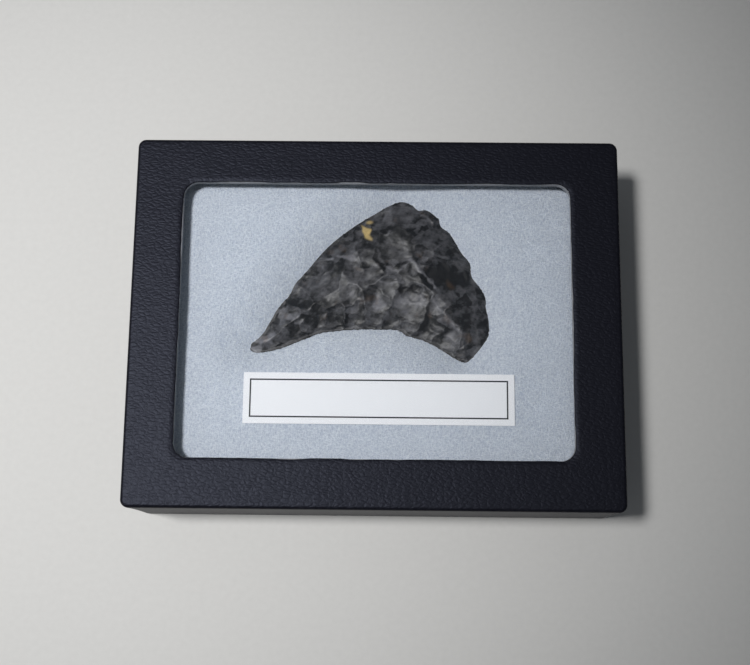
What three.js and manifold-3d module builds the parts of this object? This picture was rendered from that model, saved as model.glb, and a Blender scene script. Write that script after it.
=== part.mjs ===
import * as THREE from "three";
import { mergeVertices } from "three/addons/utils/BufferGeometryUtils.js";
import Module from "manifold-3d";

const wasm = await Module();
wasm.setup();

// A crescent knife of knapped flint on batting, in a card specimen case with a glazed lid.
// Millimetres, +Z up, +X along the case's long side, +Y away from the reader of the label.
// The origin is on the table, under the middle of the case.

// Case
const caseLength = 108;
const caseWidth = 82.6;
const caseHeight = 25.4;
const boardThickness = 1.2;
const wrapThickness = 0.4;
const lidCornerRadius = 1.8;
const lidEdgeRound = 0.8;
const trayCornerRadius = 1.2;
const skirtLift = 1; // height of the lid's lower edge above the table
const turnIn = 9; // width of wrap that is folded in over a rim
const slideGap = 0.4; // between the lid's turned-in wrap and the tray
const stayWidth = 9; // width of a corner stay on each wall
const stayThickness = 0.2;

// Window and glass
const windowLength = 86.4;
const windowWidth = 61.8;
const windowRadius = 3.3;
const windowOffset = 0.4; // the window's middle lies this far behind the lid's
const glassThickness = 2;
const glassClearance = 0.35;
const glassCornerRadius = 1.2;
const glassSeam = 0.3; // ground bevel round the pane's edge
const tapeThickness = 0.25;
const tapeReach = 5; // width of tape on the glass
const tapeDrop = 6; // width of tape on the lid's wall

// Filling
const restGap = 0.3; // between loose pieces that lie on each other
const nestGap = 0.4; // between the knife and the batting that it lies in
const padCornerRadius = 5;
const padRound = 4; // how far the crown takes to roll over into the sides
const padDrawIn = 1.4; // how far the sides pull in halfway up
const padCrown = 2.2; // rise of the crown from its rim to the glass
const padRise = 5; // width over which the batting swells up round the knife
const labelLength = 59.5;
const labelWidth = 11.3;
const labelThickness = 0.25;
const labelX = 0.9;
const labelY = -16.9;

// Knife
const knifeLength = 54.2;
const knifeWidth = 37.6;
const knifeX = -1.3; // middle of the knife's box in the case
const knifeY = 10.7;
const faceRise = 3.5; // height of the upper face above the edge
const bellyDrop = 3.1; // depth of the lower face below the edge
const rollIn = 13; // distance from the edge at which a face is full

// Sizes that follow
const glassTop = caseHeight - wrapThickness - boardThickness;
const glassUnder = glassTop - glassThickness;
const tapeUnder = glassUnder - tapeThickness;
const rimTop = tapeUnder - restGap;
const fillTop = glassUnder - restGap;
const edgeLevel = fillTop - faceRise;
const padFloor = wrapThickness + boardThickness + restGap;

// The half length and half width of a rectangle that lies a distance inside the case's outside.
const inside = (inset) => ({ x: caseLength / 2 - inset, y: caseWidth / 2 - inset });
const lidBoardOut = inside(wrapThickness);
const lidIn = inside(wrapThickness + boardThickness);
const lidMouth = inside(2 * wrapThickness + boardThickness);
const trayInset = 2 * wrapThickness + boardThickness + slideGap;
const trayOut = inside(trayInset);
const trayBoardOut = inside(trayInset + wrapThickness);
const trayIn = inside(trayInset + wrapThickness + boardThickness);
const trayMouth = inside(trayInset + 2 * wrapThickness + boardThickness);
const padOut = inside(trayInset + 2 * wrapThickness + boardThickness + restGap);

const lidBoardCorner = lidCornerRadius - wrapThickness;
const trayBoardCorner = trayCornerRadius - wrapThickness;
const skirtFold = skirtLift + wrapThickness; // lower edge of the lid's board, inside its wrap

// Solids from three.js geometry, and back

// The closed solid of a geometry, from its positions alone.
function solidOf(geometry) {
  const bare = new THREE.BufferGeometry();
  bare.setAttribute("position", geometry.getAttribute("position"));
  if (geometry.index) bare.setIndex(geometry.index);
  const merged = mergeVertices(bare, 1e-4);
  const vertProperties = new Float32Array(merged.getAttribute("position").array);
  const triVerts = new Uint32Array(merged.index.array);
  return new wasm.Manifold(new wasm.Mesh({ numProp: 3, vertProperties, triVerts }));
}

function geometryOf(solid) {
  const made = solid.getMesh();
  const geometry = new THREE.BufferGeometry();
  geometry.setAttribute("position", new THREE.BufferAttribute(made.vertProperties, 3));
  geometry.setIndex(new THREE.BufferAttribute(made.triVerts, 1));
  const flat = geometry.toNonIndexed();
  flat.computeVertexNormals();
  return flat;
}

// A rectangle with round corners, about the origin.
function rectangle(half, radius) {
  const { x, y } = half;
  const shape = new THREE.Shape();
  if (radius === 0) {
    shape.moveTo(-x, -y).lineTo(x, -y).lineTo(x, y).lineTo(-x, y).closePath();
    return shape;
  }
  shape.absarc(x - radius, y - radius, radius, 0, Math.PI / 2);
  shape.absarc(radius - x, y - radius, radius, Math.PI / 2, Math.PI);
  shape.absarc(radius - x, radius - y, radius, Math.PI, 1.5 * Math.PI);
  shape.absarc(x - radius, radius - y, radius, 1.5 * Math.PI, 2 * Math.PI);
  return shape;
}

// A block of that outline between two heights.
function block(half, bottom, top, radius = 0) {
  const depth = top - bottom;
  const shape = rectangle(half, radius);
  const geometry = new THREE.ExtrudeGeometry(shape, { depth, bevelEnabled: false, curveSegments: 4 });
  return solidOf(geometry.translate(0, 0, bottom));
}

// The same with its upper and lower edges rounded or bevelled.
function easedBlock(half, bottom, top, radius, ease, bevelSegments) {
  const shape = rectangle({ x: half.x - ease, y: half.y - ease }, radius - ease);
  const depth = top - bottom - 2 * ease;
  const bevel = { bevelThickness: ease, bevelSize: ease, bevelSegments };
  const geometry = new THREE.ExtrudeGeometry(shape, { depth, curveSegments: 4, ...bevel });
  return solidOf(geometry.translate(0, 0, bottom + ease));
}

// The whole case

const beyond = 5; // how far a cutting solid reaches past what it cuts

// Paper stays, folded round the four upright corners of a board box, flush in its outside.
function cornerStays(half, radius, bottom, top) {
  const back = { x: half.x - stayThickness, y: half.y - stayThickness };
  const ring = block(half, bottom, top, radius).subtract(
    block(back, bottom - beyond, top + beyond, radius - stayThickness),
  );
  const corners = [
    [-1, -1],
    [1, -1],
    [1, 1],
    [-1, 1],
  ];
  return corners.map(([sideX, sideY]) => {
    const corner = new THREE.BoxGeometry(2 * stayWidth, 2 * stayWidth, top - bottom + 2 * beyond);
    corner.translate(sideX * half.x, sideY * half.y, (top + bottom) / 2);
    return ring.intersect(solidOf(corner));
  });
}

// Tray

const trayBlank = block(trayBoardOut, wrapThickness, rimTop - wrapThickness, trayBoardCorner);
const trayStays = cornerStays(
  trayBoardOut,
  trayBoardCorner,
  wrapThickness,
  rimTop - wrapThickness,
);

function trayBoard() {
  const hollow = block(trayIn, wrapThickness + boardThickness, rimTop + beyond);
  return trayStays.reduce((board, stay) => board.subtract(stay), trayBlank.subtract(hollow));
}

// Black paper under and around the tray, over its rim and down its inside.
function trayWrap() {
  const skin = block(trayOut, 0, rimTop, trayCornerRadius);
  const lip = block(trayIn, rimTop - turnIn, rimTop);
  const mouth = block(trayMouth, wrapThickness, rimTop + beyond);
  return skin.subtract(trayBlank).add(lip).subtract(mouth);
}

// Lid

const windowHalf = { x: windowLength / 2, y: windowWidth / 2 };
const windowCut = block(windowHalf, glassUnder, caseHeight + beyond, windowRadius).translate(
  0,
  windowOffset,
  0,
);
const lidBlank = block(lidBoardOut, skirtFold, caseHeight - wrapThickness, lidBoardCorner);
const lidStays = cornerStays(lidBoardOut, lidBoardCorner, skirtFold, glassTop);

function lidBoard() {
  const hollow = block(lidIn, skirtFold - beyond, glassTop);
  const frame = lidBlank.subtract(hollow).subtract(windowCut);
  return lidStays.reduce((board, stay) => board.subtract(stay), frame);
}

// Leatherette over the lid, with its folds rounded, turned in under the skirt.
function lidWrap() {
  const low = skirtLift - lidEdgeRound;
  const whole = easedBlock(inside(0), low, caseHeight, lidCornerRadius, lidEdgeRound, 3);
  const below = block(inside(-beyond), low - beyond, skirtLift);
  const lip = block(lidIn, skirtLift, skirtLift + turnIn);
  const mouth = block(lidMouth, low - beyond, skirtLift + turnIn + beyond);
  const skin = whole.subtract(below).subtract(lidBlank).subtract(windowCut);
  return skin.add(lip).subtract(mouth);
}

function glassPane() {
  const half = { x: lidIn.x - glassClearance, y: lidIn.y - glassClearance };
  return easedBlock(half, glassUnder, glassTop, glassCornerRadius, glassSeam, 1);
}

// A strip of paper tape on the glass and down the lid's wall: an angle, along Y, its back at x = 0.
function glassTape(length) {
  const section = new THREE.Shape();
  section.moveTo(0, 0).lineTo(tapeReach, 0).lineTo(tapeReach, -tapeThickness);
  section.lineTo(tapeThickness, -tapeThickness).lineTo(tapeThickness, -tapeDrop);
  section.lineTo(0, -tapeDrop).closePath();
  const geometry = new THREE.ExtrudeGeometry(section, { depth: length, bevelEnabled: false });
  return geometry.rotateX(Math.PI / 2).translate(0, length / 2, 0);
}

// Knife

// The knife's own frame: X along it, Y towards its back, 0 at the middle of its box, Z 0 at its edge.
// Points are drawn for a knife of drawnLength by drawnWidth and stretched to the size wanted.
const drawnLength = 54.2;
const drawnWidth = 37.6;
const stretched = ([x, y]) => [(x * knifeLength) / drawnLength, (y * knifeWidth) / drawnWidth];

// Outline, from the point on the left along the hollow edge and back over the arched one.
const outlinePoints = [
  [-27, -16.3],
  [-25.6, -17],
  [-22.6, -16.7],
  [-19.3, -15.8],
  [-16.7, -14.7],
  [-14.2, -13.7],
  [-11.2, -12.5],
  [-8.2, -12],
  [-3.1, -11.6],
  [1.8, -11.5],
  [6.4, -11.7],
  [8.1, -12.8],
  [11.8, -13.9],
  [15.5, -15.7],
  [18.5, -17.6],
  [20.3, -18.6],
  [21.8, -18.8],
  [23.3, -17.7],
  [25.5, -15.1],
  [26.8, -12.8],
  [27.1, -9.7],
  [26.5, -6.5],
  [25.9, -2.8],
  [24.6, -0.7],
  [23.3, 1.1],
  [22.5, 4.9],
  [21.1, 6.6],
  [19.6, 9.2],
  [18, 11.8],
  [16.2, 13.2],
  [15.3, 15.3],
  [12.8, 17.2],
  [11, 17.1],
  [9.4, 18.3],
  [6.7, 18.8],
  [4.1, 18.1],
  [1.5, 16.5],
  [-3.8, 13.1],
  [-9.8, 8.1],
  [-15.6, 1],
  [-17.1, -0.6],
  [-18.5, -3.6],
  [-21.2, -6.9],
  [-22.7, -9.8],
  [-25, -13.6],
  [-26.9, -15.2],
].map(stretched);

// The middle line on which the two faces are fullest.
const spinePoints = [
  [-23.5, -14.3],
  [-15, -7.5],
  [-4, -0.5],
  [6.5, 3.5],
  [14.5, 0],
  [20, -7],
  [21.8, -14],
].map(stretched);

const asVector = ([x, y]) => new THREE.Vector3(x, y, 0);
const outlineCurve = new THREE.CatmullRomCurve3(outlinePoints.map(asVector), true, "centripetal");
const spineCurve = new THREE.CatmullRomCurve3(spinePoints.map(asVector), false, "centripetal");
const outlineSteps = 76;
const spineSteps = 40;
const outline = outlineCurve.getSpacedPoints(outlineSteps).slice(0, outlineSteps);
const spine = spineCurve.getSpacedPoints(spineSteps);

// Distance from a point to the knife's outline, positive inside it.
function distanceInside(x, y) {
  let nearest = Infinity;
  let isInside = false;
  outline.forEach((start, i) => {
    const end = outline[(i + 1) % outlineSteps];
    const alongX = end.x - start.x;
    const alongY = end.y - start.y;
    const share = ((x - start.x) * alongX + (y - start.y) * alongY) / (alongX ** 2 + alongY ** 2);
    const at = THREE.MathUtils.clamp(share, 0, 1);
    nearest = Math.min(nearest, Math.hypot(x - start.x - at * alongX, y - start.y - at * alongY));
    const crosses = start.y > y !== end.y > y;
    if (crosses && x < start.x + ((y - start.y) * alongX) / alongY) isInside = !isInside;
  });
  return isInside ? nearest : -nearest;
}

// How full a face is at a distance from the edge: 0 there, 1 from rollIn inwards, below 0 outside.
const fullness = (distance) => 1 - (1 - Math.min(distance / rollIn, 1)) ** 2;

// The rough blank: both faces, in rows from the edge towards the spine, closed over the middle.
const blankRows = [0.3, 0.75];

function knifeBlank() {
  const positions = outline.flatMap((point) => [point.x, point.y, 0]);
  const triangles = [];
  const nearestOnSpine = outline.map((point) =>
    spine.reduce((best, other) => (point.distanceTo(other) < point.distanceTo(best) ? other : best)),
  );
  for (const reach of [faceRise, -bellyDrop]) {
    const facing = (face) => (reach > 0 ? face : face.reverse());
    let previous = 0;
    for (const row of blankRows) {
      const first = positions.length / 3;
      outline.forEach((point, i) => {
        const at = point.clone().lerp(nearestOnSpine[i], row);
        positions.push(at.x, at.y, reach * fullness(distanceInside(at.x, at.y)));
      });
      for (let i = 0; i < outlineSteps; i++) {
        const next = (i + 1) % outlineSteps;
        const outer = [previous + i, previous + next];
        const inner = [first + i, first + next];
        triangles.push(facing([outer[0], outer[1], inner[1]]));
        triangles.push(facing([outer[0], inner[1], inner[0]]));
      }
      previous = first;
    }
    const rim = outline.map((_, i) => {
      const at = 3 * (previous + i);
      return new THREE.Vector2(positions[at], positions[at + 1]);
    });
    for (const [a, b, c] of THREE.ShapeUtils.triangulateShape(rim, [])) {
      triangles.push(facing([previous + a, previous + b, previous + c]));
    }
  }
  const geometry = new THREE.BufferGeometry();
  geometry.setAttribute("position", new THREE.Float32BufferAttribute(positions, 3));
  geometry.setIndex(triangles.flat());
  return solidOf(geometry);
}

// Flakes off the upper face: middle of the scar, heading in degrees, length, width, depth, and lean:
// below 0 the bowl is deepest near the blow, above 0 it ends in a step at the far end.
const upperFlakes = [
  { at: [5.9, 6.5], heading: 235, length: 12, width: 11, depth: 1.3, lean: 0.35 },
  { at: [17.5, 0.6], heading: 180, length: 13, width: 9, depth: 1.5, lean: 0.3 },
  { at: [8.4, 0.2], heading: 60, length: 12, width: 8, depth: 0.8, lean: 0 },
  { at: [9.3, -6.4], heading: 95, length: 12, width: 9, depth: 1.2, lean: 0.35 },
  { at: [1.6, -6.3], heading: 90, length: 10, width: 7, depth: 0.9, lean: 0.2 },
  { at: [-11.2, -1.4], heading: -40, length: 15, width: 11, depth: 1.1, lean: 0 },
  { at: [-6.9, 7], heading: -40, length: 8, width: 7, depth: 0.8, lean: 0.3 },
  { at: [-11.4, 3.6], heading: -35, length: 7, width: 5, depth: 0.7, lean: 0.3 },
  { at: [-3.6, 1.8], heading: -85, length: 9, width: 4.5, depth: 1, lean: 0 },
  { at: [-0.2, 2.4], heading: -100, length: 11, width: 7, depth: 0.9, lean: 0 },
  { at: [-1.2, 9.6], heading: -55, length: 9, width: 7, depth: 0.8, lean: 0.1 },
  { at: [2.8, 13.4], heading: -65, length: 9, width: 6, depth: 0.8, lean: -0.1 },
  { at: [7, 14.6], heading: -95, length: 8, width: 6.5, depth: 0.8, lean: 0 },
  { at: [11.4, 13.2], heading: -120, length: 9, width: 6, depth: 0.9, lean: 0.1 },
  { at: [14.6, 9.8], heading: -145, length: 9, width: 6.5, depth: 0.9, lean: 0.1 },
  { at: [17.6, 5.6], heading: -165, length: 9, width: 6, depth: 0.9, lean: 0.2 },
  { at: [20.4, -3.4], heading: 185, length: 10, width: 6.5, depth: 0.9, lean: 0.1 },
  { at: [21.8, -8.6], heading: 170, length: 9, width: 6.5, depth: 0.9, lean: 0 },
  { at: [22, -13.4], heading: 130, length: 8, width: 6, depth: 0.8, lean: 0 },
  { at: [17.6, -13.4], heading: 60, length: 8, width: 6.5, depth: 0.9, lean: 0.2 },
  { at: [13.4, -11], heading: 65, length: 8.5, width: 6.5, depth: 0.9, lean: 0 },
  { at: [15, -6.4], heading: 50, length: 7, width: 5, depth: 0.8, lean: 0 },
  { at: [5, -9.3], heading: 90, length: 6, width: 5, depth: 0.8, lean: 0.1 },
  { at: [-3, -8.6], heading: 88, length: 7.5, width: 6, depth: 0.9, lean: 0.2 },
  { at: [-7.8, -9], heading: 80, length: 7.5, width: 5.5, depth: 0.9, lean: 0.2 },
  { at: [-12.2, -9.4], heading: 70, length: 8, width: 6, depth: 0.9, lean: 0.1 },
  { at: [-16.4, -11.4], heading: 62, length: 7, width: 5.5, depth: 0.8, lean: 0 },
  { at: [-20.4, -13.6], heading: 58, length: 6, width: 5, depth: 0.6, lean: 0 },
  { at: [-15.6, -4.2], heading: -35, length: 9, width: 7, depth: 0.9, lean: 0 },
  { at: [-18.9, -8.2], heading: -35, length: 8, width: 6, depth: 0.8, lean: 0.1 },
  { at: [-21.8, -12], heading: -32, length: 6, width: 4.5, depth: 0.6, lean: 0 },
  { at: [-24.8, -15.6], heading: -30, length: 4.5, width: 4, depth: 0.4, lean: 0 },
  { at: [-5.4, -3], heading: -50, length: 9, width: 7, depth: 0.8, lean: 0.1 },
  { at: [4, -2.8], heading: 85, length: 6, width: 7, depth: 0.75, lean: 0.35 },
  { at: [12.3, 5.6], heading: 215, length: 7, width: 6, depth: 1, lean: 0.2 },
];

// Flakes off the under face: long ones side by side round it, then broad ones down its middle.
const lowerFlakeCount = 24;
const lowerFlakeWidth = 8.5;
const lowerRidgeFlakes = [
  { at: [-13.5, -6.5], heading: 35, length: 12, width: 9, depth: 0.8, lean: 0 },
  { at: [-6, -1.5], heading: 20, length: 13, width: 11, depth: 0.9, lean: 0.1 },
  { at: [2, 2.5], heading: 5, length: 13, width: 12, depth: 0.9, lean: 0 },
  { at: [3.5, -4], heading: 95, length: 11, width: 11, depth: 0.8, lean: 0.1 },
  { at: [9.5, 5.5], heading: -80, length: 13, width: 11, depth: 0.9, lean: 0.1 },
  { at: [13, -2], heading: -60, length: 13, width: 11, depth: 0.9, lean: 0 },
  { at: [18.5, -7.5], heading: -75, length: 12, width: 10, depth: 0.8, lean: 0 },
];

function lowerFlakes() {
  const round = Array.from({ length: lowerFlakeCount }, (_, i) => {
    const { point, heading } = onEdge((i + 0.5) / lowerFlakeCount);
    const length = 10 + 2.5 * Math.sin(2.4 * i);
    const at = steppedFrom(point, heading, 0.45 * length);
    const depth = 0.85 + 0.15 * Math.sin(1.3 * i);
    return { at, heading, length, width: lowerFlakeWidth, depth, lean: 0.1 };
  });
  return [...round, ...lowerRidgeFlakes.map((flake) => ({ ...flake, at: stretched(flake.at) }))];
}

// Fine retouch along the edge: short nibbles, a little uneven, that leave it finely toothed.
const retouchCount = 44;
const retouchDepth = 0.22;

function retouch() {
  return Array.from({ length: retouchCount }, (_, i) => {
    const { point, heading } = onEdge((i + 0.5) / retouchCount);
    const unevenness = Math.sin(1.9 * i);
    const length = 3 + 0.8 * unevenness;
    const at = steppedFrom(point, heading, 0.3 * length);
    return { at, heading, length, width: 3 + 0.5 * unevenness, depth: retouchDepth, lean: -0.2 };
  });
}

// A point at a share of the way round the outline, and the heading inwards from it.
function onEdge(share) {
  const point = outlineCurve.getPointAt(share);
  const along = outlineCurve.getTangentAt(share);
  return { point, heading: THREE.MathUtils.radToDeg(Math.atan2(along.x, -along.y)) };
}

function steppedFrom(point, heading, distance) {
  const angle = THREE.MathUtils.degToRad(heading);
  return [point.x + distance * Math.cos(angle), point.y + distance * Math.sin(angle)];
}

// A flake's bite out of a face: a bowl that follows the face, shut by a lid well above it.
// Its depth fades towards the knife's edge over a distance, so that the edge keeps its line.
const flakeBowl = { rings: [0, 0.6, 1.12], sides: 10, fade: 2.5 };
const nibbleBowl = { rings: [0, 1.2], sides: 7, fade: 0 };
const lidRise = 4;

function biteOf({ at, heading, length, width, depth, lean }, { rings, sides, fade }, reach) {
  const side = Math.sign(reach);
  const profile = rings.map((radius) => new THREE.Vector2(radius, 0));
  profile.push(new THREE.Vector2(rings.at(-1), lidRise), new THREE.Vector2(0, lidRise));
  const bowl = new THREE.LatheGeometry(profile.reverse(), sides);
  const place = bowl.getAttribute("position");
  const angle = THREE.MathUtils.degToRad(heading);
  for (let i = 0; i < place.count; i++) {
    const radius = Math.hypot(place.getX(i), place.getZ(i));
    const along = (place.getX(i) + lean * (1 - Math.min(radius, 1) ** 2)) * (length / 2);
    const across = side * place.getZ(i) * (width / 2);
    const x = at[0] + along * Math.cos(angle) - across * Math.sin(angle);
    const y = at[1] + along * Math.sin(angle) + across * Math.cos(angle);
    const distance = distanceInside(x, y);
    const share = fade && radius < 1 ? THREE.MathUtils.smoothstep(distance, -fade / 5, fade) : 1;
    const bite = depth * share * (1 - radius ** 2);
    place.setXYZ(i, x, y, reach * fullness(distance) + side * (place.getY(i) - bite));
  }
  return solidOf(bowl);
}

function crescentKnife() {
  const above = upperFlakes.map((flake) => ({ ...flake, at: stretched(flake.at) }));
  const bites = [
    ...above.map((flake) => biteOf(flake, flakeBowl, faceRise)),
    ...lowerFlakes().map((flake) => biteOf(flake, flakeBowl, -bellyDrop)),
    ...retouch().map((flake) => biteOf(flake, nibbleBowl, faceRise)),
  ];
  return bites.reduce((knife, bite) => knife.subtract(bite), knifeBlank());
}

// Batting

const padCells = { x: 31, y: 23 };
const nestMargin = 2.2; // width of batting that lies level round the knife's edge
const labelMargin = 3; // the same round the label
const labelRamp = 4; // width over which the batting rises beyond it

// Height of the batting: crowned, pressed flat by the glass, hollowed for the knife and the label.
function padHeight(x, y) {
  const toSide = Math.min(padOut.x - Math.abs(x), padOut.y - Math.abs(y));
  const crown = fillTop - padCrown * (1 - Math.min(toSide / padRound, 1)) ** 2;
  const within = distanceInside(x - knifeX, y - knifeY);
  const swell = THREE.MathUtils.clamp((-within - nestMargin) / padRise, 0, 1);
  const besideKnife = (faceRise + nestGap) * (1 - (1 - swell) ** 2);
  const nest = edgeLevel - nestGap + (within > 0 ? -bellyDrop * fullness(within) : besideKnife);
  const fromLabelX = Math.max(Math.abs(x - labelX) - labelLength / 2 - labelMargin, 0);
  const fromLabelY = Math.max(Math.abs(y - labelY) - labelWidth / 2 - labelMargin, 0);
  const rise = Math.min(Math.hypot(fromLabelX, fromLabelY) / labelRamp, 1);
  const labelBed = fillTop - (labelThickness + restGap) * (1 - rise);
  return Math.min(crown, nest, labelBed);
}

// A point of the pad's rectangle, moved so that the corners follow a round of padCornerRadius.
function rounded(x, y) {
  const overX = Math.abs(x) - (padOut.x - padCornerRadius);
  const overY = Math.abs(y) - (padOut.y - padCornerRadius);
  if (overX <= 0 || overY <= 0) return [x, y];
  const share = Math.max(overX, overY) / Math.hypot(overX, overY);
  const drawnX = padOut.x - padCornerRadius + overX * share;
  const drawnY = padOut.y - padCornerRadius + overY * share;
  return [Math.sign(x) * drawnX, Math.sign(y) * drawnY];
}

// The sides, from the crown's rim down: how far each row is drawn in, and its share of the way down.
const padRimInset = 1.2;
const padSideRows = [
  { drawn: 0, down: 0.22 },
  { drawn: padDrawIn, down: 0.55 },
  { drawn: 0.2, down: 0.85 },
  { drawn: padRimInset, down: 1 },
];

function battingPad() {
  const positions = [];
  const flat = [];
  const triangles = [];
  const addPoint = ([x, y], drawn, z) => {
    flat.push([x, y]);
    positions.push(x * (1 - drawn / padOut.x), y * (1 - drawn / padOut.y), z);
    return flat.length - 1;
  };
  const { x: cellsX, y: cellsY } = padCells;
  const crown = [];
  for (let j = 0; j <= cellsY; j++) {
    for (let i = 0; i <= cellsX; i++) {
      const point = rounded(padOut.x * ((2 * i) / cellsX - 1), padOut.y * ((2 * j) / cellsY - 1));
      crown.push(addPoint(point, padRimInset, padHeight(...point)));
    }
  }
  const at = (i, j) => crown[j * (cellsX + 1) + i];
  for (let j = 0; j < cellsY; j++) {
    for (let i = 0; i < cellsX; i++) {
      triangles.push([at(i, j), at(i + 1, j), at(i + 1, j + 1)]);
      triangles.push([at(i, j), at(i + 1, j + 1), at(i, j + 1)]);
    }
  }
  const alongX = Array.from({ length: cellsX }, (_, i) => i);
  const alongY = Array.from({ length: cellsY }, (_, j) => j);
  let above = [
    ...alongX.map((i) => at(i, 0)),
    ...alongY.map((j) => at(cellsX, j)),
    ...alongX.map((i) => at(cellsX - i, cellsY)),
    ...alongY.map((j) => at(0, cellsY - j)),
  ];
  const rimHeights = above.map((point) => positions[3 * point + 2]);
  for (const { drawn, down } of padSideRows) {
    const row = above.map((point, k) =>
      addPoint(flat[point], drawn, rimHeights[k] + (padFloor - rimHeights[k]) * down),
    );
    row.forEach((point, k) => {
      const next = (k + 1) % row.length;
      triangles.push([above[k], point, row[next]], [above[k], row[next], above[next]]);
    });
    above = row;
  }
  const middle = addPoint([0, 0], 0, padFloor);
  above.forEach((point, k) => triangles.push([above[(k + 1) % above.length], point, middle]));
  const geometry = new THREE.BufferGeometry();
  geometry.setAttribute("position", new THREE.Float32BufferAttribute(positions, 3));
  geometry.setIndex(triangles.flat());
  return geometry;
}

// Finishes
const finish = (color, roughness, extra = {}) =>
  new THREE.MeshStandardMaterial({ color, roughness, metalness: 0, flatShading: true, ...extra });
const leatherette = finish(0x1b1b20, 0.5);
const blackPaper = finish(0x232326, 0.8);
const greyBoard = finish(0x8d8a84, 0.9);
const kraftPaper = finish(0x9a7a55, 0.85);
const whiteTape = finish(0xd8d6cf, 0.8);
const clearGlass = finish(0xe8f0f2, 0.05, { transparent: true, opacity: 0.25 });
const batting = finish(0xdfe6ee, 0.95);
const labelPaper = finish(0xf2f2f0, 0.8);
const darkFlint = finish(0x37373c, 0.3);

// The assembly
const specimenCase = new THREE.Group();
const tray = new THREE.Group();
const filling = new THREE.Group();
const lid = new THREE.Group();
specimenCase.add(tray, filling, lid);

function place(group, name, geometry, material) {
  const mesh = new THREE.Mesh(geometry, material);
  mesh.name = name;
  group.add(mesh);
  return mesh;
}

place(tray, "tray_board", geometryOf(trayBoard()), greyBoard);
place(tray, "tray_wrap", geometryOf(trayWrap()), blackPaper);
trayStays.forEach((stay, i) => place(tray, `tray_stay_${i + 1}`, geometryOf(stay), kraftPaper));

place(filling, "batting_pad", battingPad(), batting);
const label = place(
  filling,
  "label_card",
  new THREE.BoxGeometry(labelLength, labelWidth, labelThickness),
  labelPaper,
);
label.position.set(labelX, labelY, fillTop - labelThickness / 2);
const knife = place(filling, "crescent_knife", geometryOf(crescentKnife()), darkFlint);
knife.position.set(knifeX, knifeY, edgeLevel);

place(lid, "lid_board", geometryOf(lidBoard()), greyBoard);
place(lid, "lid_wrap", geometryOf(lidWrap()), leatherette);
lidStays.forEach((stay, i) => place(lid, `lid_stay_${i + 1}`, geometryOf(stay), kraftPaper));
place(lid, "glass_pane", geometryOf(glassPane()), clearGlass);

const sideTape = glassTape(2 * lidIn.y);
const endTape = glassTape(2 * (lidIn.x - tapeReach));
const leftTape = place(lid, "glass_tape_left", sideTape, whiteTape);
leftTape.position.set(-lidIn.x, 0, glassUnder);
const rightTape = place(lid, "glass_tape_right", sideTape, whiteTape);
rightTape.position.set(lidIn.x, 0, glassUnder);
rightTape.rotation.z = Math.PI;
const frontTape = place(lid, "glass_tape_front", endTape, whiteTape);
frontTape.position.set(0, -lidIn.y, glassUnder);
frontTape.rotation.z = Math.PI / 2;
const backTape = place(lid, "glass_tape_back", endTape, whiteTape);
backTape.position.set(0, lidIn.y, glassUnder);
backTape.rotation.z = -Math.PI / 2;

export default specimenCase;
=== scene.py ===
import math

import bpy
import numpy as np
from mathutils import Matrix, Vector


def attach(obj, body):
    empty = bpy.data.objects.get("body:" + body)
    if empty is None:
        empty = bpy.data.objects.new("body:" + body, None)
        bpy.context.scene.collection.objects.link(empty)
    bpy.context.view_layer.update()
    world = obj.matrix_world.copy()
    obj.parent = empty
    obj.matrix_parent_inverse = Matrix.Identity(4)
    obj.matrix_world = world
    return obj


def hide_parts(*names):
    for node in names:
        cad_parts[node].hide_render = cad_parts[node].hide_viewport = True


# A crescent knife of knapped flint on batting, in a card specimen case with a glazed lid.
# Shapes are worked out in millimetres, as in the CAD source, and scaled to metres when a mesh is made.

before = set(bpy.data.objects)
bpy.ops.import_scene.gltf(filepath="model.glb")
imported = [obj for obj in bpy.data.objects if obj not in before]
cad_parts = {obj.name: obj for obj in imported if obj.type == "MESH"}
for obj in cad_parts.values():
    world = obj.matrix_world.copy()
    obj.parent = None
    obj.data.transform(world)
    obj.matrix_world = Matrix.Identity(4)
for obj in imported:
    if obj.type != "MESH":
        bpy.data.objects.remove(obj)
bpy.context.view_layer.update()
millimetre = 0.001
chance = np.random.default_rng(11)

# Sizes shared with the CAD source. Heights are measured from the table.
case = {
    "length": 108,
    "width": 82.6,
    "height": 25.4,
    "corner": 1.8,  # radius of the upright corners
    "edgeRound": 0.8,  # radius of the lid's upper edge
    "board": 1.2,  # thickness of the card, then of the wrap on it
    "wrap": 0.4,
    "skirtLift": 1,  # height of the lid's lower edge
    "turnIn": 9,  # width of wrap that is folded in under it
}
window = {"length": 86.4, "width": 61.8, "radius": 3.3, "offset": 0.4}
fillTop = 21.5  # height of the knife's and the label's top, a hair under the glass
faceRise = 3.5  # height of the knife's upper face above its edge
bellyDrop = 3.1  # depth of its lower face below the edge
rollIn = 13  # distance from the edge at which a face is full
edgeLevel = fillTop - faceRise
knifeAt = (-1.3, 10.7)
padHalf = (49.3, 36.6)  # half the batting's length and width
padFloor = 1.9


# Helpers for arrays and meshes


# An eased step from 0 at low to 1 at high.
def smoothstep(value, low, high):
    share = np.clip((value - low) / (high - low), 0, 1)
    return share * share * (3 - 2 * share)


# Smooth noise from about -1 to 1: a sum of waves with random headings, each octave finer and weaker.
def waveNoise(x, y, size, octaves=3, waves=7):
    total = np.zeros(np.shape(x))
    strength = 1.0
    for _ in range(octaves):
        heading = chance.uniform(0, 2 * np.pi, waves)
        pitch = (2 * np.pi / size) * chance.uniform(0.7, 1.4, waves)
        phase = chance.uniform(0, 2 * np.pi, waves)
        for angle, rate, shift in zip(heading, pitch, phase):
            total += strength * np.sin(rate * (x * np.cos(angle) + y * np.sin(angle)) + shift)
        strength *= 0.5
        size *= 0.47
    return total / (1.6 * math.sqrt(waves))


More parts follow.
